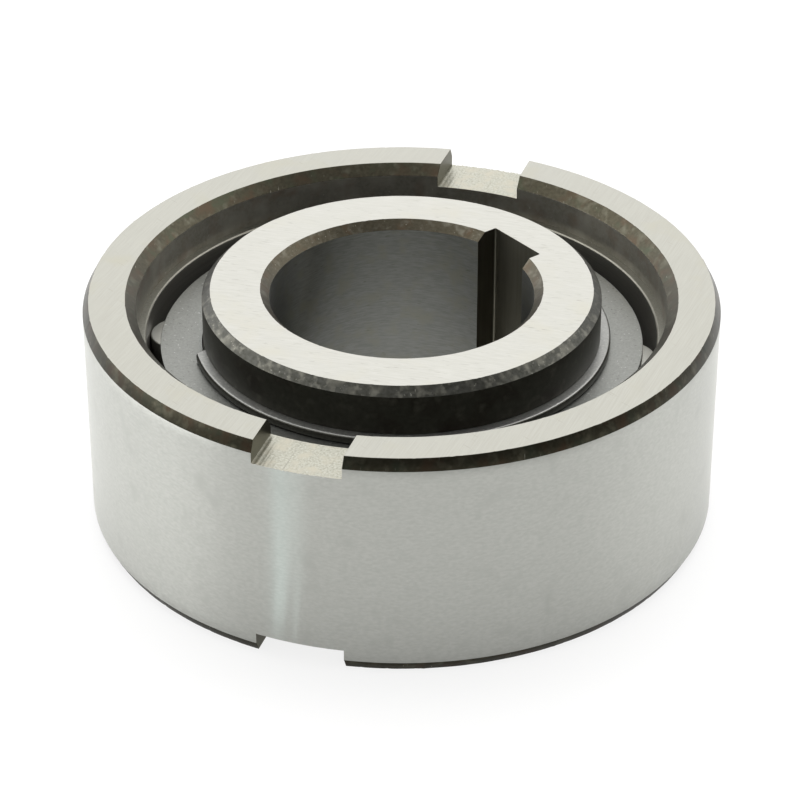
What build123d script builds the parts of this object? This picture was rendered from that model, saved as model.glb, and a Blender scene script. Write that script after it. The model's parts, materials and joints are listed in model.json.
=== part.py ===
"""Keyed roller freewheel: a slotted outer ring round a cam star with sprung clamping rollers.

Millimetres. The origin is on the axis at the lower end face of the outer ring, +Z points up along the
axis, and the driving slots of the outer ring lie along the Y axis.
"""

import os
from math import cos, radians, sin, sqrt, tan

from build123d import *

# Outer ring
outer_diameter = 72.0
outer_width = 27.0
ring_wall = 6.0  # outside surface to recess wall
recess_step = 1.0  # recess wall to raceway
recess_depth = 4.8  # end face to the ledge beside the raceway
lead_in = 0.15  # 45 degree chamfer from ledge to raceway
face_chamfer = 1.2  # 45 degree chamfer between end face and recess
edge_chamfer_radial = 0.68  # steep chamfer on the outside edges
edge_chamfer_axial = 1.27
slot_width = 10.0
slot_depth = 2.5

# Inner ring
bore_diameter = 30.0
inner_width = 27.0
inner_lift = 0.45  # upper end of the inner ring stands this far above the outer ring
hub_wall = 7.6  # bore to hub surface
hub_chamfer = 0.95
bore_chamfer = 1.0
key_width = 8.0
key_depth = 2.1
key_corner_radius = 0.2
key_azimuth = 56.1  # degrees from +X towards +Y
star_width = 11.8
star_gap = 2.0  # raceway to the star's lands

# Rollers and their ramps
roller_count = 6
first_roller_azimuth = 12.0
roller_diameter = 7.0
roller_end_gap = 0.1  # roller end to side plate
wedge_angle = 7.0  # ramp against the raceway's tangent at the roller, degrees
contact_gap = 0.03  # left between solids that touch on the real part
ramp_run = 4.0  # flat ramp past the roller's line of contact
pocket_exit_rise = 1.3  # the pocket's floor climbs this much from the ramp to the land
pocket_wall_gap = 1.55  # sprung side of the pocket to the roller, the room it can be pushed back
pocket_corner_radius = 0.6

# Plungers and springs
plunger_diameter = 2.5
plunger_length = 4.5
plunger_drop = 1.5  # plunger axis below the roller axis, towards the ramp
plunger_bore_clearance = 0.05  # radial
plunger_bore_depth = 7.5
spring_diameter = 2.2  # over the wire
spring_wire = 0.28  # square section
spring_turns = 4
spring_bends = 6  # straight lengths in each turn
spring_end_gap = 0.05

# Side plates and snap rings
plate_thickness = 1.0
plate_overhang = 0.45  # plate beyond the star's lands
plate_bore_clearance = 0.1  # radial, on the hub
snap_ring_thickness = 1.0
snap_ring_width = 2.4  # radial
snap_ring_gap = 40.0  # opening between its ends, degrees
snap_ring_gap_azimuth = 190.0  # middle of the opening of the upper ring
snap_ring_end_slant = 28.0  # each end's cut against the radius, degrees, opening outwards
groove_depth = 1.3
groove_clearance = 0.05  # round the snap ring, in depth and in width

outer_radius = outer_diameter / 2
recess_radius = outer_radius - ring_wall
raceway_radius = recess_radius - recess_step
bore_radius = bore_diameter / 2
hub_radius = bore_radius + hub_wall
land_radius = raceway_radius - star_gap
roller_radius = roller_diameter / 2
plunger_radius = plunger_diameter / 2

inner_top = outer_width + inner_lift
inner_bottom = inner_top - inner_width
inner_middle = (inner_top + inner_bottom) / 2
star_top = inner_middle + star_width / 2
star_bottom = inner_middle - star_width / 2

# A roller's pocket is drawn with X square to the ramp and Y along it, towards the narrow end of the wedge.
roller_circle = raceway_radius - roller_radius - contact_gap
roller_x = roller_circle * cos(radians(wedge_angle))
roller_y = roller_circle * sin(radians(wedge_angle))
ramp_height = roller_x - roller_radius - contact_gap
pocket_wall_y = roller_y - roller_radius - pocket_wall_gap
plunger_x = roller_x - plunger_drop


def pocket_angle(number):
    """Direction square to the ramp of one pocket, in degrees."""
    return first_roller_azimuth + number * 360 / roller_count - wedge_angle


def turned(points):
    """Solid of revolution about Z from (radius, height) points."""
    return revolve(Plane.XZ * make_face(Polyline(points, close=True)), Axis.Z)


def mirrored_profile(half, middle):
    """Closed (radius, height) profile from its upper half, repeated below the middle height."""
    return half + [(r, 2 * middle - z) for r, z in reversed(half)]


def outer_ring():
    """Turned ring with a recess and a chamfered raceway at each end, slotted across both end faces."""
    top = outer_width
    ledge = top - recess_depth
    half = [
        (raceway_radius, ledge - lead_in),
        (raceway_radius + lead_in, ledge),
        (recess_radius, ledge),
        (recess_radius, top - face_chamfer),
        (recess_radius + face_chamfer, top),
        (outer_radius - edge_chamfer_radial, top),
        (outer_radius, top - edge_chamfer_axial),
    ]
    ring = turned(mirrored_profile(half, outer_width / 2))
    for middle in (slot_depth / 2, top - slot_depth / 2):
        ring -= Pos(0, 0, middle) * Box(slot_width, 2 * outer_diameter, slot_depth)
    return ring


def pocket():
    """Space of one roller in the star: a flat ramp, the wall with the plunger, and a climbing exit."""
    beyond = land_radius + roller_radius
    exit_x = ramp_height + pocket_exit_rise
    exit_y = sqrt(land_radius**2 - exit_x**2)
    ramp_end = roller_y + ramp_run
    slope = pocket_exit_rise / (exit_y - ramp_end)
    past = roller_radius
    outline = Polyline(
        [
            (beyond, pocket_wall_y),
            (ramp_height, pocket_wall_y),
            (ramp_height, ramp_end),
            (exit_x + slope * past, exit_y + past),
            (beyond, exit_y + past),
        ],
        close=True,
    )
    face = make_face(outline)
    corner = face.vertices().sort_by(Axis.X).filter_by(lambda v: v.Y < 0)[0]
    face = fillet(corner, pocket_corner_radius)
    return Pos(0, 0, star_bottom) * extrude(face, star_width)


def plunger_bore():
    """Blind bore from the pocket's wall into the star, parallel to the ramp."""
    radius = plunger_radius + plunger_bore_clearance
    middle = pocket_wall_y - plunger_bore_depth / 2
    return Pos(plunger_x, middle, inner_middle) * Rot(90, 0, 0) * Cylinder(radius, plunger_bore_depth)


def snap_ring_groove():
    """Ring of space cut into the hub for a snap ring, about its own middle."""
    width = snap_ring_thickness + 2 * groove_clearance
    return Cylinder(hub_radius + groove_depth, width) - Cylinder(hub_radius - groove_depth, width)


def upper_snap_ring_bottom():
    return star_top + plate_thickness


def inner_ring():
    """Keyed hub and cam star in one piece."""
    hub_half = [
        (bore_radius, inner_top - bore_chamfer),
        (bore_radius + bore_chamfer, inner_top),
        (hub_radius - hub_chamfer, inner_top),
        (hub_radius, inner_top - hub_chamfer),
        (hub_radius, star_top),
        (land_radius, star_top),
    ]
    ring = turned(mirrored_profile(hub_half, inner_middle))
    for number in range(roller_count):
        ring -= Rot(0, 0, pocket_angle(number)) * (pocket() + plunger_bore())
    upper_groove = upper_snap_ring_bottom() + snap_ring_thickness / 2
    for middle in (upper_groove, 2 * inner_middle - upper_groove):
        ring -= Pos(0, 0, middle) * snap_ring_groove()
    key_reach = bore_radius + key_depth
    keyway = Box(key_reach, key_width, 2 * inner_width)
    keyway = fillet(keyway.edges().filter_by(Axis.Z).sort_by(Axis.X)[-2:], key_corner_radius)
    return ring - Rot(0, 0, key_azimuth) * Pos(key_reach / 2, 0, inner_middle) * keyway


def roller():
    """Clamping roller about its own axis."""
    return Cylinder(roller_radius, star_width - 2 * roller_end_gap)


def plunger_tip_y():
    """Flat end of the plunger, where its edge meets the side of the roller."""
    height = plunger_drop - plunger_radius
    return roller_y - sqrt((roller_radius + contact_gap) ** 2 - height**2)


def plunger():
    """Plain pin along Y, with its tip against the roller."""
    middle = plunger_tip_y() - plunger_length / 2
    return Pos(0, middle, 0) * Rot(90, 0, 0) * Cylinder(plunger_radius, plunger_length)


def spring():
    """Square wire coil between the bottom of the bore and the back of the plunger."""
    start = pocket_wall_y - plunger_bore_depth + spring_end_gap + spring_wire / 2
    end = plunger_tip_y() - plunger_length - spring_end_gap - spring_wire / 2
    radius = (spring_diameter - spring_wire) / 2
    bends = spring_bends * spring_turns
    coil = Polyline(
        [
            (
                radius * cos(radians(360 * bend / spring_bends)),
                start + (end - start) * bend / bends,
                radius * sin(radians(360 * bend / spring_bends)),
            )
            for bend in range(bends + 1)
        ]
    )
    section = Plane(origin=coil @ 0, z_dir=coil % 0) * Rectangle(spring_wire, spring_wire)
    return sweep(section, path=coil, transition=Transition.RIGHT)


def side_plate():
    """Flat washer that covers the rollers' ends, with its lower face at the origin's height."""
    disc = Cylinder(land_radius + plate_overhang, plate_thickness)
    disc -= Cylinder(hub_radius + plate_bore_clearance, plate_thickness)
    return Pos(0, 0, plate_thickness / 2) * disc


def snap_ring():
    """Open flat ring, opening at +X, with its lower face at the origin's height."""
    inside = hub_radius - groove_depth + groove_clearance
    outside = inside + snap_ring_width
    middle = (inside + outside) / 2
    ring = Cylinder(outside, snap_ring_thickness) - Cylinder(inside, snap_ring_thickness)
    half_gap = radians(snap_ring_gap / 2)
    steepness = tan(half_gap + radians(snap_ring_end_slant))
    apex = middle * (cos(half_gap) - sin(half_gap) / steepness)
    reach = 2 * outside
    opening = make_face(
        Polyline((apex, 0), (reach, (reach - apex) * steepness), (reach, (apex - reach) * steepness), close=True)
    )
    ring -= Pos(0, 0, -snap_ring_thickness) * extrude(opening, 2 * snap_ring_thickness)
    return Pos(0, 0, snap_ring_thickness / 2) * ring


def lower(shape):
    """The same piece on the other end of the inner ring, turned over about the X axis."""
    return Pos(0, 0, 2 * inner_middle) * Rot(180, 0, 0) * shape


def pieces():
    """Every node of the assembly by name."""
    plate = Pos(0, 0, star_top) * side_plate()
    clip = Pos(0, 0, upper_snap_ring_bottom()) * Rot(0, 0, snap_ring_gap_azimuth) * snap_ring()
    found = {
        "outer_ring": outer_ring(),
        "inner_ring": inner_ring(),
        "upper_side_plate": plate,
        "lower_side_plate": lower(plate),
        "upper_snap_ring": clip,
        "lower_snap_ring": lower(clip),
    }
    for number in range(roller_count):
        turn = Rot(0, 0, pocket_angle(number))
        found[f"roller_{number + 1}"] = turn * Pos(roller_x, roller_y, inner_middle) * roller()
        found[f"plunger_{number + 1}"] = turn * Pos(plunger_x, 0, inner_middle) * plunger()
        found[f"spring_{number + 1}"] = turn * Pos(plunger_x, 0, inner_middle) * spring()
    return found


os.makedirs("parts", exist_ok=True)
for name, shape in pieces().items():
    export_step(shape, f"parts/{name}.step")
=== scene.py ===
"""Looks of a keyed roller freewheel: ground rings with dark chamfers, side plates, snap rings and rollers.

Shapes are worked out in millimetres in the frame of the CAD model and written to the meshes in metres.
"""

import json
from math import atan2, cos, degrees, pi, radians, sin, sqrt, tau

import bmesh
import bpy
import numpy as np
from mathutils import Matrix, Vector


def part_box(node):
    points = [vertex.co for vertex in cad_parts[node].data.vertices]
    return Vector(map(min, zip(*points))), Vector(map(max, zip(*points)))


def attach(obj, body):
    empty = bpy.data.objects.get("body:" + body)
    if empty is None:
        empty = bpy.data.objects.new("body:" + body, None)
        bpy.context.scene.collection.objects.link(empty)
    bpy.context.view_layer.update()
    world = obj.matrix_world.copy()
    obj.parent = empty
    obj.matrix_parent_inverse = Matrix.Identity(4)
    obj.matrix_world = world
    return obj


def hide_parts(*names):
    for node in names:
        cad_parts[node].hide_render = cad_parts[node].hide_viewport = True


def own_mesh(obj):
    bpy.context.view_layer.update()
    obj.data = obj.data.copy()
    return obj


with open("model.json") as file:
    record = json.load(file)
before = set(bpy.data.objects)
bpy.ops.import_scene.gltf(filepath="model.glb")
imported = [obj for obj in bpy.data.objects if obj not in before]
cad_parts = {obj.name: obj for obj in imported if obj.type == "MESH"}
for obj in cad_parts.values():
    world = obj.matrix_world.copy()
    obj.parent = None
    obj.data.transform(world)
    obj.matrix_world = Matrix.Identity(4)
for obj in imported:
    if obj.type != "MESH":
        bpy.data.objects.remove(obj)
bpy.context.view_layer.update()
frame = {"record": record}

MM = 0.001

mounts = {mount["name"]: mount for mount in frame["record"]["mounts"]}


def extent(node):
    """Lowest and highest corner of a CAD node in millimetres."""
    return [np.array(corner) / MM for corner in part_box(node)]


# Outer ring, mm
OUTER_RADIUS = mounts["outside"]["dims"]["r_mm"]
RING_TOP = extent("outer_ring")[1][2]
RING_WALL = 6.0
RECESS_STEP = 1.0
RECESS_RADIUS = OUTER_RADIUS - RING_WALL
RACEWAY_RADIUS = RECESS_RADIUS - RECESS_STEP
RECESS_DEPTH = 4.8
LEAD_IN = 0.15
FACE_CHAMFER = 1.2
EDGE_CHAMFER = (0.68, 1.27)  # radial, axial
SLOT_WIDTH = 10.0
SLOT_DEPTH = 2.5
SLOT_AZIMUTHS = (-90.0, 90.0)

# Inner ring, mm
BORE_RADIUS = mounts["bore"]["dims"]["r_mm"]
INNER_BOTTOM, INNER_TOP = (corner[2] for corner in extent("inner_ring"))
INNER_MIDDLE = (INNER_TOP + INNER_BOTTOM) / 2
HUB_WALL = 7.6
HUB_RADIUS = BORE_RADIUS + HUB_WALL
HUB_CHAMFER = 0.95
BORE_CHAMFER = 1.0
KEY_WIDTH = 8.0
KEY_DEPTH = 2.1
KEY_REACH = BORE_RADIUS + KEY_DEPTH
KEY_CORNER = 0.2
KEY_AZIMUTH = degrees(atan2(*mounts["keyway"]["pos_m"][1::-1]))
STAR_GAP = 2.0
LAND_RADIUS = RACEWAY_RADIUS - STAR_GAP
STAR_BOTTOM = extent("lower_side_plate")[1][2]
STAR_TOP = extent("upper_side_plate")[0][2]

# Plates and snap rings, mm
PLATE_THICKNESS = 1.0
PLATE_OVERHANG = 0.45
PLATE_CLEARANCE = 0.1
PLATE_RADIUS = LAND_RADIUS + PLATE_OVERHANG
PLATE_BORE = HUB_RADIUS + PLATE_CLEARANCE
GROOVE_DEPTH = 1.3
GROOVE_RADIUS = HUB_RADIUS - GROOVE_DEPTH
GROOVE_CLEARANCE = 0.05
CLIP_THICKNESS = 1.0
CLIP_WIDTH = 2.4
CLIP_GAP = 40.0
CLIP_GAP_AZIMUTH = 190.0
CLIP_END_SLANT = 28.0
CLIP_ROUNDING = 0.3
CLIP_SHADED_STEPS = 3  # steps of the upper outer rounding that take the painted shade

# Rollers, plungers and springs, mm
ROLLER_COUNT = 6
FIRST_ROLLER = 12.0
ROLLER_RADIUS = 3.5
ROLLER_END_GAP = 0.1
ROLLER_LENGTH = STAR_TOP - STAR_BOTTOM - 2 * ROLLER_END_GAP
ROLLER_EDGE = 0.15
CONTACT_GAP = 0.03
WEDGE_ANGLE = 7.0
ROLLER_CIRCLE = RACEWAY_RADIUS - ROLLER_RADIUS - CONTACT_GAP
ROLLER_X = ROLLER_CIRCLE * cos(radians(WEDGE_ANGLE))
ROLLER_Y = ROLLER_CIRCLE * sin(radians(WEDGE_ANGLE))
RAMP_HEIGHT = ROLLER_X - ROLLER_RADIUS - CONTACT_GAP
RAMP_RUN = 4.0
RAMP_END = ROLLER_Y + RAMP_RUN
POCKET_GAP = 1.55
POCKET_WALL = ROLLER_Y - ROLLER_RADIUS - POCKET_GAP
EXIT_RISE = 1.3
POCKET_EXIT = RAMP_HEIGHT + EXIT_RISE
POCKET_CORNER = 0.6
PLUNGER_DROP = 1.5
PLUNGER_X = ROLLER_X - PLUNGER_DROP
PLUNGER_RADIUS = 1.25
PLUNGER_LENGTH = 4.5
PLUNGER_NOSE = 0.45  # rounding of its tip
BORE_DEPTH = 7.5
BORE_CLEARANCE = 0.05
SPRING_RADIUS = 0.95  # to the middle of the wire
SPRING_WIRE = 0.14  # radius
SPRING_TURNS = 6
SPRING_CLOSING = 0.11  # share of the length by which the end turns close up

# Studio
SOFT_LIGHT = 0.7  # level of the light from all round
DARK_ROOM = 0.25  # level of the room in reflections
SOFTBOXES = [
    # degrees from straight behind towards the left, elevation, cosines of its outer and inner edge, level
    (30.0, 40.0, 0.0, 0.5, 1.75),
    (80.0, 8.0, 0.7, 0.95, 1.8),
    (-75.0, 32.0, 0.85, 0.97, 1.8),
]
# Table lights: both edges in degrees round the ring from the camera's side, and level
STRIPS = [(-22.6, -20.4, 1.8), (-18.7, -18.2, 2.0)]
STRIP_REACH = (8.0, 400.0)  # mm from the foot of the ring
STRIP_HEIGHT = 0.02  # mm above the floor
STRIP_COLOUR = "#f4ffff"
PAPER_COLOUR = "#f2f2f0"
PAPER_ROUGHNESS = 0.9
FLOOR_REACH = 3.0  # metres
FLOOR_GLOW = 1.03  # level of the white that is mixed with the paper
GLOW_SEEN = 0.8  # its share for the camera
GLOW_MIRRORED = 0.4  # its share in reflections
CEILING_ELEVATION = 65
CEILING_DISTANCE = 1.0  # metres
CEILING_SIZE = (1.0, 0.8)  # metres
CEILING_POWER = 13  # watts

# Camera fitted to the photograph
CAMERA_AZIMUTH = 17.9
STRAIGHT_BEHIND = CAMERA_AZIMUTH + 90
CAMERA_PLACE = (93.19, -288.53, 199.28)  # mm
CAMERA_PITCH = 58.338
CAMERA_ROLL = -0.035
CAMERA_YAW = 17.956
CAMERA_LENS = 138.78
SENSOR_WIDTH = 36.0
NEAREST_SEEN = 0.01  # metres

EDGE_BREAK = 0.05  # rounding that every edge keeps from tumbling
SMOOTH_ANGLE = radians(30)  # edges that turn by more are sharp
COLUMNS = 720  # facets round a full turn
SLOT_COLUMNS = 61  # lines across a slot
KEY_FLOOR_COLUMNS = 15  # lines across the keyway's flat floor
ROLLER_COLUMNS = 96
PLUNGER_COLUMNS = 48
PLUNGER_BORE_COLUMNS = 32
WIRE_COLUMNS = 10
TURN_STEPS = 24  # steps of the wire in each turn
ROUNDING_POINTS = 6  # points on the quarter circle of an edge
CORNER_POINTS = 7  # points on the quarter circle of a pocket's or keyway's corner
CUT_PAST = 1.0  # mm by which a cutter passes the surface
WELD = 1e-6  # metres

# Wear along the edges of the ground faces
RAGGED = 0.06  # mm, burr of the slot floor's edge
WAVE_DEPTH = 0.006  # mm
WAVES = (5, 13, 31)  # full waves along one sector
NICKS = 40  # on each edge of one sector
NICK_DEPTH = 0.06  # mm
NICK_WIDTH = 0.002  # share of the sector, of the widest
NARROWEST_NICK = 0.3  # share of the widest
WEAR_FADE = 0.02  # share of the sector


# Noise values between which a colour runs to the next, and the detail of the noise
GRAIN_SPAN = (0.3, 0.7)
GRAIN_DETAIL = 2.0
CLOUD_SPAN = (0.63, 0.83)  # less the cloud's share
CLOUD_DETAIL = 3.0
MARK_SPAN = (0.73, 0.81)  # less the mark's share
MARK_DETAIL = 1.0
LINES_ROUND = 0.25  # turn of the anisotropy: grinding lines run round, so highlights stand up


def linear(hex_colour):
    """Linear colour from an sRGB hex string."""
    parts = np.array([int(hex_colour[i : i + 2], 16) for i in (1, 3, 5)]) / 255
    low, high = parts / 12.92, ((parts + 0.055) / 1.055) ** 2.4
    return (*np.where(parts <= 0.04045, low, high), 1.0)


def add(tree, kind, inputs=None, **settings):
    """Adds one node; an input given a socket is linked and any other is set."""
    made = tree.nodes.new(kind)
    for name, value in settings.items():
        setattr(made, name, value)
    for key, value in (inputs or {}).items():
        if isinstance(value, bpy.types.NodeSocket):
            tree.links.new(value, made.inputs[key])
        else:
            made.inputs[key].default_value = value
    return made


def pattern(tree, cell, azimuth=0.0, detail=GRAIN_DETAIL):
    """Noise from 0 to 1 whose cells measure the given millimetres, their first side along the azimuth."""
    place = add(
        tree,
        "ShaderNodeMapping",
        {
            "Vector": add(tree, "ShaderNodeTexCoord").outputs["Object"],
            "Rotation": (0, 0, radians(azimuth)),
            "Scale": [size * MM for size in cell],
        },
        vector_type="TEXTURE",
    ).outputs[0]
    return add(tree, "ShaderNodeTexNoise", {"Vector": place, "Scale": 1.0, "Detail": detail}).outputs[0]


def blended(tree, value, span, low, high):
    """Colour that runs from low to high while the value runs over the span."""
    limits = {"Value": value, "From Min": span[0], "From Max": span[1]}
    share = add(tree, "ShaderNodeMapRange", limits).outputs[0]
    return add(tree, "ShaderNodeMix", {0: share, 6: low, 7: high}, data_type="RGBA").outputs[2]


def steel(
    name,
    colours,
    grain,
    roughness,
    azimuth=0.0,
    relief=0.0,
    anisotropic=0.0,
    metallic=1.0,
    clouds=(),
    marks=(),
):
    """Bare or oxidised steel. The grain, cells in mm, runs between two colours and two roughnesses and lifts
    the surface by relief mm. Clouds are (size in mm, colour, share) of slow soft stains. Marks are
    (cell in mm, azimuth, colour, share) of small sharp ones."""
    material = bpy.data.materials.new(name)
    material.use_nodes = True
    tree = material.node_tree
    shader = tree.nodes["Principled BSDF"]
    shader.inputs["Metallic"].default_value = metallic
    shader.inputs["Anisotropic"].default_value = anisotropic
    shader.inputs["Anisotropic Rotation"].default_value = LINES_ROUND
    value = pattern(tree, grain, azimuth)
    colour = blended(tree, value, GRAIN_SPAN, linear(colours[0]), linear(colours[1]))
    for size, shade, share in clouds:
        cloud = pattern(tree, (size, size, size), detail=CLOUD_DETAIL)
        colour = blended(tree, cloud, [limit - share for limit in CLOUD_SPAN], colour, linear(shade))
    for cell, direction, shade, share in marks:
        mark = pattern(tree, cell, direction, detail=MARK_DETAIL)
        colour = blended(tree, mark, [limit - share for limit in MARK_SPAN], colour, linear(shade))
    tree.links.new(colour, shader.inputs["Base Color"])
    rough = {"Value": value, "To Min": roughness[0], "To Max": roughness[1]}
    tree.links.new(add(tree, "ShaderNodeMapRange", rough).outputs[0], shader.inputs["Roughness"])
    if relief:
        bump = {"Height": value, "Strength": 1.0, "Distance": relief * MM}
        tree.links.new(add(tree, "ShaderNodeBump", bump).outputs[0], shader.inputs["Normal"])
    return material


MATERIALS = {
    # End faces off a surface grinder: near white, with straight fine lines across the whole ring
    "ground_face": steel(
        "surface_ground_face", ("#97968e", "#9f9e96"), (4, 0.12, 4), (0.3, 0.38), azimuth=86, relief=0.0005,
        clouds=[(5, "#9b998d", 0.06)], marks=[((0.12, 3, 1), 60, "#8b8980", 0.02)],
    ),
    # The hub was ground in its own setting, brighter and nearly square to the slots
    "hub_face": steel(
        "surface_ground_hub_face", ("#a4a39c", "#aeada7"), (2.5, 0.14, 3), (0.3, 0.38), azimuth=5,
        relief=0.0008, clouds=[(5, "#a9a79d", 0.1)], marks=[((1.5, 0.12, 1), 5, "#8f8e86", 0.05)],
    ),
    # Centreless ground outside: grinding lines run round it, so highlights stand up along the axis
    "ground_outside": steel(
        "centreless_ground_outside", ("#aaaba6", "#b4b5b0"), (0.6, 0.6, 0.25), (0.28, 0.3), anisotropic=1.0,
        clouds=[(3, "#a8a9a4", 0.06)],
    ),
    # Quench oxide left on the turned chamfers: dark olive brown with soft stains and a few bright scratches
    "oxide": steel(
        "quench_oxide_chamfer", ("#2e2c23", "#37352c"), (0.4, 0.4, 0.4), (0.34, 0.42), relief=0.001,
        clouds=[(2.5, "#3a3026", 0.14), (2, "#30332a", 0.12), (1.3, "#48463b", 0.12)],
        marks=[((0.12, 1.2, 1.2), 20, "#86847a", -0.02)],
    ),
    # The inner chamfer, lighter and more stained
    "inner_oxide": steel(
        "stained_oxide_chamfer", ("#37342b", "#434035"), (0.4, 0.4, 0.4), (0.34, 0.42), relief=0.001,
        clouds=[(2.5, "#443a2f", 0.12), (2, "#3c3f33", 0.12), (1.3, "#514f44", 0.1)],
        marks=[((0.12, 1.2, 1.2), 20, "#939185", -0.02)],
    ),
    # The hub's outer chamfer was rubbed bright again in smears across it
    "worn_chamfer": steel(
        "rubbed_hub_chamfer", ("#363631", "#444440"), (0.5, 0.5, 0.3), (0.34, 0.46), relief=0.001,
        clouds=[(1.6, "#56554e", 0.14), (0.8, "#5e5d56", 0.1)],
        marks=[((0.25, 0.25, 0.8), 0, "#6c6b64", 0.04)],
    ),
    # The bore's chamfer, browner
    "bore_chamfer": steel(
        "oxide_bore_chamfer", ("#3f3b31", "#4a463b"), (0.4, 0.4, 0.2), (0.34, 0.46), relief=0.001,
        clouds=[(1.8, "#4a4034", 0.12), (1, "#5a574d", 0.12)],
        marks=[((0.2, 0.2, 0.6), 0, "#7e7b70", 0.02)],
    ),
    # The same oxide, thinner and smoother, inside the recess
    "recess": steel(
        "heat_treated_recess", ("#827f76", "#938f85"), (0.4, 0.4, 0.4), (0.36, 0.46), relief=0.001,
        metallic=0.8, clouds=[(3, "#83776c", 0.12), (4, "#a09c92", 0.12)],
        marks=[((0.3, 0.3, 0.3), 0, "#b3afa5", 0.0)],
    ),
    # Ledge beside the raceway, faced but left dark
    "ledge": steel("faced_ledge", ("#6f6f67", "#7f7e76"), (0.3, 0.3, 0.3), (0.38, 0.48), relief=0.001),
    # Ground edge where the raceway begins
    "edge": steel("ground_raceway_edge", ("#77756c", "#85837a"), (1, 1, 1), (0.42, 0.5)),
    # Honed raceway under a film of old oil
    "raceway": steel(
        "oiled_raceway", ("#6f6d66", "#7e7c75"), (20, 20, 0.15), (0.36, 0.44), relief=0.0002, metallic=0.5
    ),
    # Bore ground round, with a soft grey sheen
    "bore": steel(
        "ground_bore", ("#838480", "#939490"), (1.2, 1.2, 0.15), (0.3, 0.36), relief=0.0003, anisotropic=0.8,
        clouds=[(2, "#8d8d84", 0.12)], marks=[((1, 1, 0.15), 0, "#7b7b74", 0.04)],
    ),
    # Black oxide on the turned hub side
    "hub_side": steel(
        "black_hub_side", ("#34342d", "#3e3e37"), (0.6, 0.6, 0.6), (0.36, 0.46), relief=0.001, metallic=0.7,
        clouds=[(3, "#2d2923", 0.14), (1.5, "#4d4d45", 0.08)],
    ),
    # Slot floor cut by an end mill after hardening: bright, granular
    "milled": steel(
        "end_milled_slot_floor", ("#8c8b7f", "#adaca1"), (0.25, 0.25, 0.25), (0.32, 0.5), relief=0.002,
        clouds=[(1.5, "#a5a193", 0.14)],
    ),
    # Slot walls, olive grey
    "slot_wall": steel(
        "milled_slot_wall", ("#4f4d3e", "#605e4f"), (0.3, 0.3, 0.3), (0.35, 0.5), relief=0.002
    ),
    # Broached keyway: lines along the axis
    "keyway": steel("broached_keyway", ("#7e7b6f", "#8b887c"), (0.5, 0.5, 12), (0.35, 0.45), relief=0.001),
    "key_wall": steel(
        "broached_key_wall", ("#545147", "#605d53"), (0.5, 0.5, 12), (0.35, 0.45), relief=0.001
    ),
    # Star behind the plates, ground and oiled
    "star": steel("ground_star", ("#7d7c76", "#8d8c85"), (8, 8, 0.2), (0.3, 0.4), relief=0.001),
    # Tumbled sheet: matt mid grey with small dark and light specks
    "plate": steel(
        "tumbled_sheet", ("#797a76", "#858682"), (0.25, 0.25, 0.25), (0.4, 0.48), relief=0.001,
        marks=[((0.35, 0.35, 0.35), 0, "#63645f", 0.04), ((0.3, 0.3, 0.3), 40, "#a5a6a2", 0.03)],
    ),
    # Spring steel wire, oiled and rubbed
    "clip": steel(
        "oiled_spring_steel", ("#828280", "#92928e"), (0.3, 0.3, 0.3), (0.34, 0.44), relief=0.001,
        metallic=0.8, marks=[((0.3, 0.3, 0.3), 0, "#a6a6a0", 0.05)],
    ),
    # Painted shade: the outer side and the roundings beside it take a darker copy of the clip's steel
    "clip_side": steel(
        "scaled_spring_steel", ("#4a4a46", "#585853"), (0.3, 0.3, 0.3), (0.36, 0.46), relief=0.001
    ),
    # Superfinished rollers
    "roller": steel(
        "superfinished_roller", ("#9c9c96", "#a6a6a0"), (3, 3, 3), (0.3, 0.38), relief=0.0002, metallic=0.85
    ),
    "pin": steel("hardened_pin", ("#8f8f8c", "#a3a3a0"), (1, 1, 1), (0.25, 0.35), relief=0.0003),
    "wire": steel("spring_wire", ("#6e6e6c", "#8a8a88"), (0.5, 0.5, 0.5), (0.25, 0.35), relief=0.0003),
}


def turn(points, angle):
    """Points turned about Z by an angle in degrees."""
    c, s = cos(radians(angle)), sin(radians(angle))
    return points @ np.array([[c, s, 0], [-s, c, 0], [0, 0, 1]])


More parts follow.
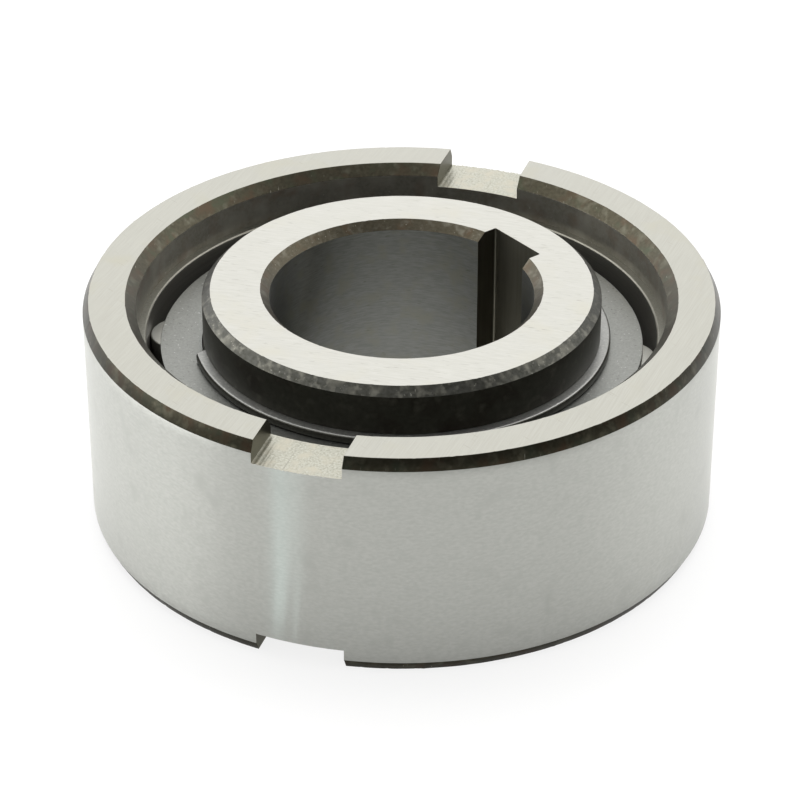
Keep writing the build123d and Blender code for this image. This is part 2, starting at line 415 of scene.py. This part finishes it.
class Shell:
    """Points and faces of one piece, gathered with a finish for each face."""

    def __init__(self):
        self.points = []
        self.faces = []
        self.finishes = []
        self.count = 0

    def add_points(self, points):
        """Stores points and gives the number of the first."""
        first = self.count
        self.points.append(np.asarray(points, float).reshape(-1, 3))
        self.count += len(self.points[-1])
        return first

    def grid(self, points, finishes, closed=False):
        """Quads between the rows of an array (columns, profile, 3), with one finish for each profile step."""
        columns, profile = points.shape[:2]
        first = self.add_points(points)
        index = first + np.arange(columns * profile).reshape(columns, profile)
        if closed:
            index = np.concatenate([index, index[:, :1]], axis=1)
        quads = np.stack([index[:-1, :-1], index[:-1, 1:], index[1:, 1:], index[1:, :-1]], axis=-1)
        self.faces += quads.reshape(-1, 4).tolist()
        self.finishes += list(finishes) * (columns - 1)

    def polygon(self, points, finish):
        """One flat face."""
        first = self.add_points(points)
        self.faces.append(list(range(first, first + len(points))))
        self.finishes.append(finish)

    def piece(self, node, body, slot, edge=EDGE_BREAK, cutters=()):
        """Makes the welded, closed mesh, cuts it, rounds its edges and lets it stand for a CAD node."""
        name = f"{node}_finish"
        mesh = bpy.data.meshes.new(name)
        mesh.from_pydata(np.concatenate(self.points) * MM, [], self.faces)
        kinds = list(dict.fromkeys(self.finishes))
        for kind in kinds:
            mesh.materials.append(MATERIALS[kind])
        mesh.polygons.foreach_set("material_index", [kinds.index(kind) for kind in self.finishes])
        work = bmesh.new()
        work.from_mesh(mesh)
        bmesh.ops.remove_doubles(work, verts=work.verts, dist=WELD)
        bmesh.ops.recalc_face_normals(work, faces=work.faces)
        work.to_mesh(mesh)
        work.free()
        made = bpy.data.objects.new(name, mesh)
        bpy.context.scene.collection.objects.link(made)
        for tool in cutters:
            cut = made.modifiers.new("cut", "BOOLEAN")
            cut.operation = "DIFFERENCE"
            cut.solver = "EXACT"
            cut.material_mode = "TRANSFER"
            cut.object = tool
        if cutters:
            made.data = baked(made)
            for tool in cutters:
                bpy.data.objects.remove(tool)
        made.data.shade_smooth()
        made.data.set_sharp_from_angle(angle=SMOOTH_ANGLE)
        if edge:
            weigh_edges(made.data)
            rounding = made.modifiers.new("edge_break", "BEVEL")
            rounding.width = edge * MM
            rounding.segments = 2
            rounding.limit_method = "WEIGHT"
            rounding.harden_normals = True
            rounding.use_clamp_overlap = True
        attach(made, body)
        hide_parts(node)
        return made


def weigh_edges(mesh):
    """Gives a bevel weight to every edge that stands out; inner corners stay sharp."""
    work = bmesh.new()
    work.from_mesh(mesh)
    weight = work.edges.layers.float.new("bevel_weight_edge")
    for edge in work.edges:
        edge[weight] = float(edge.calc_face_angle_signed(0) > SMOOTH_ANGLE)
    work.to_mesh(mesh)
    work.free()


def baked(made):
    """Mesh of an object with its modifiers applied."""
    graph = bpy.context.evaluated_depsgraph_get()
    mesh = bpy.data.meshes.new_from_object(made.evaluated_get(graph))
    made.modifiers.clear()
    return mesh


def around(profile, start, end, half_start, half_end, columns):
    """Columns of a profile carried round Z between two planes that stand half_start and half_end beside the
    radial planes at start and end: a point of radius r starts at start + asin(half_start / r)."""
    radius, height = profile[:, 0], profile[:, 1]
    first = radians(start) + np.arcsin(half_start / radius)
    last = radians(end) - np.arcsin(half_end / radius)
    share = np.linspace(0, 1, columns)[:, None]
    angle = first + (last - first) * share
    return np.stack([radius * np.cos(angle), radius * np.sin(angle), height + 0 * angle], axis=-1)


def worn(columns, corners, seed):
    """Columns whose given corners wander in radius, as a hand-ground edge does: sine waves of random phase
    and bell-shaped nicks of random place, width and depth, all fading out at both ends of the sector."""
    random = np.random.default_rng(seed)
    share = np.linspace(0, 1, len(columns))
    radius = np.hypot(columns[..., 0], columns[..., 1])
    for corner in corners:
        shift = sum(WAVE_DEPTH * np.sin(tau * (turns * share + random.random())) for turns in WAVES)
        for _ in range(NICKS):
            place = random.random()
            width = NICK_WIDTH * random.uniform(NARROWEST_NICK, 1)
            shift = shift + NICK_DEPTH * random.uniform(-1, 1) * np.exp(-(((share - place) / width) ** 2))
        shift *= np.clip(np.minimum(share, 1 - share) / WEAR_FADE, 0, 1)
        columns[:, corner, :2] *= (1 + shift / radius[:, corner])[:, None]
    return columns


def across(profile, azimuth, side, flat=None):
    """Columns of a profile in planes parallel to the radial plane at azimuth and beside it by side: a point
    of radius r lies sqrt(r^2 - side^2) out, or at its own distance where flat gives one."""
    radius, height = profile[:, 0], profile[:, 1]
    side = side[:, None]
    out = np.sqrt(np.maximum(radius**2 - side**2, 0))
    if flat is not None:
        out = np.where(np.isnan(flat), out, flat)
    return turn(np.stack([out, side + 0 * out, height + 0 * out], axis=-1), azimuth)


def mirrored(half, middle):
    """Upper half of a profile, then its mirror image below the middle height."""
    return half + [(radius, 2 * middle - height) for radius, height in reversed(half)]


def outer_ring():
    """Ring turned from a profile of straight lines; its two slot sectors leave out what lies beyond the slot
    floors, and the cutter left the outer edge of the upper floors ragged."""
    ledge = RING_TOP - RECESS_DEPTH
    floor = RING_TOP - SLOT_DEPTH
    half = [
        (RACEWAY_RADIUS, ledge - LEAD_IN),
        (RACEWAY_RADIUS + LEAD_IN, ledge),
        (RECESS_RADIUS, ledge),
        (RECESS_RADIUS, floor),
        (RECESS_RADIUS, RING_TOP - FACE_CHAMFER),
        (RECESS_RADIUS + FACE_CHAMFER, RING_TOP),
        (OUTER_RADIUS - EDGE_CHAMFER[0], RING_TOP),
        (OUTER_RADIUS, RING_TOP - EDGE_CHAMFER[1]),
        (OUTER_RADIUS, floor),
    ]
    finishes = ["edge", "ledge", "recess", "recess", "inner_oxide", "ground_face", "oxide", "ground_outside"]
    profile = np.array(mirrored(half, RING_TOP / 2))
    face = [len(half) - 4, len(half) - 3]
    face += [len(profile) - 1 - corner for corner in face]
    steps = finishes + ["ground_outside"] + finishes[::-1] + ["raceway"]
    shell = Shell()
    half_slot = SLOT_WIDTH / 2
    for azimuth in SLOT_AZIMUTHS:
        columns = around(profile, azimuth, azimuth + 180, half_slot, half_slot, COLUMNS // 2)
        shell.grid(worn(columns, face, seed=int(azimuth) + 100), steps, closed=True)
    inner_top, outer_top = half.index((RECESS_RADIUS, floor)), len(half) - 1
    last = len(profile) - 1
    outside = list(range(outer_top, last - outer_top + 1))
    inside = list(range(last - inner_top, last + 1)) + list(range(0, inner_top + 1))
    kept_steps = [steps[i] for i in outside[:-1]] + ["milled"] + [steps[i] for i in inside[:-1]] + ["milled"]
    ragged = np.random.default_rng(seed=3)
    walls = [list(range(inner_top, outer_top + 1)), [last - i for i in range(inner_top, outer_top + 1)]]
    for azimuth in SLOT_AZIMUTHS:
        sector = across(profile, azimuth, np.linspace(-half_slot, half_slot, SLOT_COLUMNS))
        sector[1:-1, outer_top, 2] += ragged.uniform(-RAGGED, RAGGED, SLOT_COLUMNS - 2)
        shell.grid(sector[:, outside + inside], kept_steps, closed=True)
        for column in (sector[0], sector[-1]):
            for wall in walls:
                shell.polygon(column[wall], "slot_wall")
    return shell.piece("outer_ring", "outer_ring", "ground_steel")


def pocket_outline():
    """Outline (x, y) of one roller's pocket: wall, rounded corner, flat ramp and climbing exit."""
    beyond = LAND_RADIUS + ROLLER_RADIUS
    exit_y = sqrt(LAND_RADIUS**2 - POCKET_EXIT**2)
    slope = (POCKET_EXIT - RAMP_HEIGHT) / (exit_y - RAMP_END)
    past = ROLLER_RADIUS
    angle = np.linspace(-pi / 2, -pi, CORNER_POINTS)
    corner = np.stack([np.cos(angle), np.sin(angle)], axis=1) * POCKET_CORNER
    corner += (RAMP_HEIGHT + POCKET_CORNER, POCKET_WALL + POCKET_CORNER)
    rest = [
        (RAMP_HEIGHT, RAMP_END),
        (POCKET_EXIT + slope * past, exit_y + past),
        (beyond, exit_y + past),
        (beyond, POCKET_WALL),
    ]
    return np.concatenate([corner, rest])


def cutter(name, points, faces):
    """Plain closed solid that only cuts."""
    mesh = bpy.data.meshes.new(name)
    mesh.from_pydata(points * MM, [], faces)
    mesh.materials.append(MATERIALS["star"])
    work = bmesh.new()
    work.from_mesh(mesh)
    bmesh.ops.recalc_face_normals(work, faces=work.faces)
    work.to_mesh(mesh)
    work.free()
    made = bpy.data.objects.new(name, mesh)
    bpy.context.scene.collection.objects.link(made)
    return made


def prism(bottom, top):
    """Faces of a prism between two loops of equal length."""
    count = len(bottom)
    sides = [[i, (i + 1) % count, count + (i + 1) % count, count + i] for i in range(count)]
    return np.concatenate([bottom, top]), sides + [list(range(count)), list(range(count, 2 * count))]


def pocket_angle(number):
    """Direction square to one ramp, in degrees."""
    return FIRST_ROLLER + number * 360 / ROLLER_COUNT - WEDGE_ANGLE


def star_cutters():
    """Pockets and plunger bores of the star."""
    outline = pocket_outline()
    level = np.ones((len(outline), 1))
    low = np.hstack([outline, STAR_BOTTOM * level])
    high = np.hstack([outline, STAR_TOP * level])
    angle = np.linspace(0, tau, PLUNGER_BORE_COLUMNS, endpoint=False)
    radius = PLUNGER_RADIUS + BORE_CLEARANCE
    ring = np.stack(
        [PLUNGER_X + radius * np.cos(angle), 0 * angle, INNER_MIDDLE + radius * np.sin(angle)], axis=1
    )
    made = []
    for number in range(ROLLER_COUNT):
        spin = pocket_angle(number)
        points, faces = prism(low, high)
        made.append(cutter(f"pocket_{number + 1}", turn(points, spin), faces))
        blind, open_end = POCKET_WALL - BORE_DEPTH, POCKET_WALL + CUT_PAST
        points, faces = prism(ring + (0, blind, 0), ring + (0, open_end, 0))
        made.append(cutter(f"plunger_bore_{number + 1}", turn(points, spin), faces))
    return made


def inner_ring():
    """Hub and star turned from one profile; the key sector's bore lies on the flat keyway floor."""
    key_half = KEY_WIDTH / 2
    key_corner = sqrt((KEY_REACH - KEY_CORNER) ** 2 + key_half**2)
    groove_bottom = STAR_TOP + PLATE_THICKNESS - GROOVE_CLEARANCE
    groove_top = groove_bottom + CLIP_THICKNESS + 2 * GROOVE_CLEARANCE
    half = [
        (BORE_RADIUS, INNER_TOP - BORE_CHAMFER),
        (BORE_RADIUS + BORE_CHAMFER, INNER_TOP),
        (key_corner, INNER_TOP),
        (HUB_RADIUS - HUB_CHAMFER, INNER_TOP),
        (HUB_RADIUS, INNER_TOP - HUB_CHAMFER),
        (HUB_RADIUS, groove_top),
        (GROOVE_RADIUS, groove_top),
        (GROOVE_RADIUS, groove_bottom),
        (HUB_RADIUS, groove_bottom),
        (HUB_RADIUS, STAR_TOP),
        (LAND_RADIUS, STAR_TOP),
    ]
    finishes = ["bore_chamfer", "hub_face", "hub_face", "worn_chamfer"] + ["hub_side"] * 5 + ["star"]
    profile = np.array(mirrored(half, INNER_MIDDLE))
    steps = finishes + ["star"] + finishes[::-1] + ["bore"]
    shell = Shell()
    columns = around(profile, KEY_AZIMUTH, KEY_AZIMUTH + 360, key_half, key_half, COLUMNS)
    last = len(profile) - 1
    face = [1, 3, last - 1, last - 3]
    shell.grid(worn(columns, face, seed=7), steps, closed=True)
    corner = 2
    kept = list(range(corner, last - corner + 1))
    bend = np.linspace(0, pi / 2, CORNER_POINTS)
    side = key_half - KEY_CORNER + KEY_CORNER * np.sin(bend)
    between = np.linspace(-1, 1, KEY_FLOOR_COLUMNS + 2)[1:-1] * (key_half - KEY_CORNER)
    side = np.concatenate([-side[::-1], between, side])
    out = KEY_REACH - KEY_CORNER + KEY_CORNER * np.cos(bend)
    flat = np.full((len(side), len(kept)), np.nan)
    flat[:, 0] = np.concatenate([out[::-1], np.full(KEY_FLOOR_COLUMNS, KEY_REACH), out])
    flat[:, -1] = flat[:, 0]
    sector = across(profile[kept], KEY_AZIMUTH, side, flat)
    shell.grid(sector, [steps[i] for i in kept[:-1]] + ["keyway"], closed=True)
    full = across(profile, KEY_AZIMUTH, np.array([-key_half, key_half]))
    wall = list(range(corner, -1, -1)) + [last, last - 1, last - corner]
    for column in full:
        shell.polygon(column[wall], "key_wall")
    return shell.piece("inner_ring", "inner_assembly", "cam_steel", cutters=star_cutters())


def side_plate(name, bottom):
    """Flat washer with broken edges."""
    top = bottom + PLATE_THICKNESS
    profile = np.array([(PLATE_BORE, bottom), (PLATE_BORE, top), (PLATE_RADIUS, top), (PLATE_RADIUS, bottom)])
    shell = Shell()
    shell.grid(around(profile, 0, 360, 0, 0, COLUMNS + 1), ["plate"] * 4, closed=True)
    return shell.piece(name, "inner_assembly", "tumbled_plate")


def snap_ring(name, bottom, azimuth):
    """Open ring of a rectangle whose corners are quarter circles; its flat ends slant across it."""
    inside = GROOVE_RADIUS + GROOVE_CLEARANCE
    outside = inside + CLIP_WIDTH
    loop = []
    corners = [(outside, CLIP_THICKNESS), (inside, CLIP_THICKNESS), (inside, 0), (outside, 0)]
    for quarter, (radius, height) in enumerate(corners):
        angle = np.linspace(0, pi / 2, ROUNDING_POINTS) + quarter * pi / 2
        centre = (
            radius - CLIP_ROUNDING * np.sign(radius - inside - CLIP_WIDTH / 2),
            height - CLIP_ROUNDING * np.sign(height - CLIP_THICKNESS / 2),
        )
        loop.append(np.stack([np.cos(angle), np.sin(angle)], axis=1) * CLIP_ROUNDING + centre)
    profile = np.concatenate(loop) + (0, bottom)
    half_gap = CLIP_GAP / 2
    middle = inside + CLIP_WIDTH / 2
    beside = middle * sin(radians(CLIP_END_SLANT))
    start, end = azimuth + half_gap + CLIP_END_SLANT, azimuth + 360 - half_gap - CLIP_END_SLANT
    columns = around(profile, start, end, -beside, -beside, COLUMNS)
    rubbed = (len(corners) - 1) * ROUNDING_POINTS - CLIP_SHADED_STEPS
    # painted shade: the outer side, the lower outer rounding and the lower steps of the upper outer rounding
    # are darker
    finishes = ["clip_side"] * CLIP_SHADED_STEPS + ["clip"] * rubbed + ["clip_side"] * ROUNDING_POINTS
    shell = Shell()
    shell.grid(columns, finishes, closed=True)
    shell.polygon(columns[0], "clip")
    shell.polygon(columns[-1], "clip")
    return shell.piece(name, "inner_assembly", "snap_ring_steel")


def lathe(profile, centre, axis, columns, finish):
    """Closed solid of revolution: (radius, height) points from pole to pole, about an axis through centre."""
    angle = np.linspace(0, tau, columns + 1)[:, None]
    radius, height = profile[:, 0], profile[:, 1]
    local = np.stack([radius * np.cos(angle), radius * np.sin(angle), height + 0 * angle], axis=-1)
    toward = np.array(axis, float)
    side = np.cross((0, 0, 1), toward) if abs(toward[2]) < 0.9 else np.array([1.0, 0, 0])
    side /= np.linalg.norm(side)
    basis = np.stack([side, np.cross(toward, side), toward])
    shell = Shell()
    shell.grid(local @ basis + centre, [finish] * (len(profile) - 1))
    return shell


def roller(number):
    """Cylinder with rounded ends about its own axis."""
    spin = pocket_angle(number)
    centre = turn(np.array([[ROLLER_X, ROLLER_Y, INNER_MIDDLE]]), spin)[0]
    angle = np.linspace(0, pi / 2, ROUNDING_POINTS)
    end = ROLLER_LENGTH / 2
    rounded = np.stack([np.cos(angle), np.sin(angle)], axis=1) * ROLLER_EDGE
    rounded += (ROLLER_RADIUS - ROLLER_EDGE, end - ROLLER_EDGE)
    upper = np.concatenate([rounded, [(0, end)]])
    profile = np.concatenate([upper[::-1], upper * (1, -1)])
    shell = lathe(profile, centre, (0, 0, 1), ROLLER_COLUMNS, "roller")
    name = f"roller_{number + 1}"
    return shell.piece(name, name, "roller_steel", edge=0)


def plunger_tip():
    """Distance along the ramp of the plunger's tip, where its edge meets the side of the roller."""
    drop = ROLLER_X - PLUNGER_X - PLUNGER_RADIUS
    return ROLLER_Y - sqrt((ROLLER_RADIUS + CONTACT_GAP) ** 2 - drop**2)


def plunger(number):
    """Pin with a rounded nose towards the roller."""
    spin = pocket_angle(number)
    angle = np.linspace(0, pi / 2, ROUNDING_POINTS)
    rounded = np.stack([np.cos(angle), np.sin(angle)], axis=1) * PLUNGER_NOSE
    rounded += (PLUNGER_RADIUS - PLUNGER_NOSE, -PLUNGER_NOSE)
    profile = np.concatenate([rounded[::-1], [(PLUNGER_RADIUS, -PLUNGER_LENGTH), (0, -PLUNGER_LENGTH)]])
    profile = np.concatenate([[(0, 0)], profile])
    centre = turn(np.array([[PLUNGER_X, plunger_tip(), INNER_MIDDLE]]), spin)[0]
    axis = turn(np.array([[0, 1.0, 0]]), spin)[0]
    shell = lathe(profile, centre, axis, PLUNGER_COLUMNS, "pin")
    name = f"plunger_{number + 1}"
    return shell.piece(name, name, "plunger_steel", edge=0)


def spring(number):
    """Round wire coil: a circle carried along a helix whose pitch closes at both ends."""
    spin = pocket_angle(number)
    start = POCKET_WALL - BORE_DEPTH + CONTACT_GAP + SPRING_WIRE
    end = plunger_tip() - PLUNGER_LENGTH - CONTACT_GAP - SPRING_WIRE
    share = np.linspace(0, 1, SPRING_TURNS * TURN_STEPS + 1)
    wind = share * SPRING_TURNS * tau
    rise = share - SPRING_CLOSING * np.sin(share * tau)
    path = np.stack(
        [SPRING_RADIUS * np.cos(wind), start + (end - start) * rise, SPRING_RADIUS * np.sin(wind)], axis=1
    )
    along = np.gradient(path, axis=0)
    along /= np.linalg.norm(along, axis=1)[:, None]
    out = np.stack([np.cos(wind), 0 * wind, np.sin(wind)], axis=1)
    out -= (out * along).sum(1)[:, None] * along
    out /= np.linalg.norm(out, axis=1)[:, None]
    third = np.cross(along, out)
    angle = np.linspace(0, tau, WIRE_COLUMNS, endpoint=False)
    ring = np.cos(angle)[:, None] * out[:, None] + np.sin(angle)[:, None] * third[:, None]
    points = path[:, None] + SPRING_WIRE * ring + (PLUNGER_X, 0, INNER_MIDDLE)
    points = turn(points.reshape(-1, 3), spin).reshape(points.shape)
    shell = Shell()
    shell.grid(points, ["wire"] * len(angle), closed=True)
    shell.polygon(points[0], "wire")
    shell.polygon(points[-1], "wire")
    name = f"spring_{number + 1}"
    made = shell.piece(name, "inner_assembly", "spring_steel", edge=0)
    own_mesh(made)
    return made


def unit_vector(azimuth, elevation):
    """Unit vector in a direction given in degrees."""
    side, rise = radians(azimuth), radians(elevation)
    return cos(side) * cos(rise), sin(side) * cos(rise), sin(rise)


def ceiling():
    """Rectangular soft light above and behind the part that faces it and shows in no reflection."""
    data = bpy.data.lights.new("ceiling", "AREA")
    data.shape = "RECTANGLE"
    data.size, data.size_y = CEILING_SIZE
    data.energy = CEILING_POWER
    made = bpy.data.objects.new("ceiling", data)
    made.rotation_euler = (radians(90 - CEILING_ELEVATION), 0, radians(STRAIGHT_BEHIND + 90))
    made.location = CEILING_DISTANCE * np.array(unit_vector(STRAIGHT_BEHIND, CEILING_ELEVATION))
    made.visible_glossy = False
    bpy.context.scene.collection.objects.link(made)


def table_light(name, start, end, level):
    """Narrow light on the table that only reflections see. Its edges start near the foot of the ring at two
    angles from the camera's side and run on at twice those angles, as a mirrored line of sight does."""
    angle = np.radians([start, end])
    view = radians(STRAIGHT_BEHIND - 180)
    foot = OUTER_RADIUS * np.stack([np.cos(view + angle), np.sin(view + angle)], axis=1)
    along = np.stack([np.cos(view + 2 * angle), np.sin(view + 2 * angle)], axis=1)
    near, far = (foot + reach * along for reach in STRIP_REACH)
    corners = np.concatenate([near, far[::-1]])
    mesh = bpy.data.meshes.new(name)
    mesh.from_pydata(np.column_stack([corners, np.full(4, STRIP_HEIGHT)]) * MM, [], [(0, 1, 2, 3)])
    made = bpy.data.objects.new(name, mesh)
    made.visible_camera = False
    made.visible_diffuse = False
    made.visible_shadow = False
    bpy.context.scene.collection.objects.link(made)
    material = bpy.data.materials.new(name)
    material.use_nodes = True
    tree = material.node_tree
    glow = add(tree, "ShaderNodeEmission", {"Color": linear(STRIP_COLOUR), "Strength": level})
    tree.links.new(glow.outputs[0], tree.nodes["Material Output"].inputs["Surface"])
    mesh.materials.append(material)


def mirrored_ray(tree, path):
    """1 for a ray that a surface reflects or lets through, otherwise 0."""
    rays = {0: path.outputs["Is Glossy Ray"], 1: path.outputs["Is Transmission Ray"]}
    return add(tree, "ShaderNodeMath", rays, operation="MAXIMUM").outputs[0]


def surroundings():
    """World that the camera sees white. It lights the part evenly, while reflections see a dark room with
    softboxes: each adds a level that rises smoothly with the cosine between a ray and its own direction."""
    world = bpy.data.worlds.new("studio")
    bpy.context.scene.world = world
    world.use_nodes = True
    tree = world.node_tree
    ray = add(tree, "ShaderNodeTexCoord").outputs["Generated"]
    room = DARK_ROOM
    for azimuth, elevation, outer, inner, level in SOFTBOXES:
        middle = unit_vector(STRAIGHT_BEHIND + azimuth, elevation)
        facing = add(tree, "ShaderNodeVectorMath", {0: ray, 1: middle}, operation="DOT_PRODUCT")
        share = {"Value": facing.outputs["Value"], "From Min": outer, "From Max": inner, "To Max": level}
        share = add(tree, "ShaderNodeMapRange", share, interpolation_type="SMOOTHSTEP").outputs[0]
        room = add(tree, "ShaderNodeMath", {0: room, 1: share}, operation="ADD").outputs[0]
    path = add(tree, "ShaderNodeLightPath")
    level = add(tree, "ShaderNodeMix", {0: mirrored_ray(tree, path), 2: SOFT_LIGHT, 3: room}).outputs[0]
    level = add(tree, "ShaderNodeMix", {0: path.outputs["Is Camera Ray"], 2: level, 3: 1.0}).outputs[0]
    tree.links.new(level, tree.nodes["Background"].inputs["Strength"])
    tree.nodes["Background"].inputs["Color"].default_value = (1, 1, 1, 1)


def studio():
    """White paper floor that keeps the part's shadow, the lights on it and the soft light above."""
    surroundings()
    mesh = bpy.data.meshes.new("floor")
    corners = FLOOR_REACH * np.array([(-1, -1, 0), (1, -1, 0), (1, 1, 0), (-1, 1, 0)])
    mesh.from_pydata(corners, [], [(0, 1, 2, 3)])
    floor = bpy.data.objects.new("floor", mesh)
    bpy.context.scene.collection.objects.link(floor)
    material = bpy.data.materials.new("white_paper_floor")
    material.use_nodes = True
    tree = material.node_tree
    path = add(tree, "ShaderNodeLightPath")
    paper = tree.nodes["Principled BSDF"]
    paper.inputs["Base Color"].default_value = linear(PAPER_COLOUR)
    paper.inputs["Roughness"].default_value = PAPER_ROUGHNESS
    paper.inputs["Specular IOR Level"].default_value = 0.0
    glow = add(tree, "ShaderNodeEmission", {"Color": (1, 1, 1, 1), "Strength": FLOOR_GLOW})
    share = {0: mirrored_ray(tree, path), 1: GLOW_MIRRORED}
    share = add(tree, "ShaderNodeMath", share, operation="MULTIPLY").outputs[0]
    share = {0: path.outputs["Is Camera Ray"], 1: GLOW_SEEN, 2: share}
    share = add(tree, "ShaderNodeMath", share, operation="MULTIPLY_ADD").outputs[0]
    mixed = add(tree, "ShaderNodeMixShader", {0: share, 1: paper.outputs[0], 2: glow.outputs[0]})
    tree.links.new(mixed.outputs[0], tree.nodes["Material Output"].inputs["Surface"])
    mesh.materials.append(material)

    for number, (start, end, level) in enumerate(STRIPS):
        table_light(f"table_light_{number + 1}", start, end, level)
    ceiling()


def camera():
    """Long lens that looks down at the part from the photograph's side."""
    data = bpy.data.cameras.new("camera")
    data.lens = CAMERA_LENS
    data.sensor_width = SENSOR_WIDTH
    data.clip_start = NEAREST_SEEN
    made = bpy.data.objects.new("camera", data)
    made.location = np.array(CAMERA_PLACE) * MM
    made.rotation_euler = [radians(a) for a in (CAMERA_PITCH, CAMERA_ROLL, CAMERA_YAW)]
    bpy.context.scene.collection.objects.link(made)
    bpy.context.scene.camera = made


outer_ring()
inner_ring()
side_plate("upper_side_plate", STAR_TOP)
side_plate("lower_side_plate", STAR_BOTTOM - PLATE_THICKNESS)
snap_ring("upper_snap_ring", STAR_TOP + PLATE_THICKNESS, CLIP_GAP_AZIMUTH)
snap_ring("lower_snap_ring", STAR_BOTTOM - PLATE_THICKNESS - CLIP_THICKNESS, -CLIP_GAP_AZIMUTH)
for number in range(ROLLER_COUNT):
    roller(number)
    plunger(number)
    spring(number)
studio()
camera()
bpy.context.scene.view_settings.view_transform = "Standard"
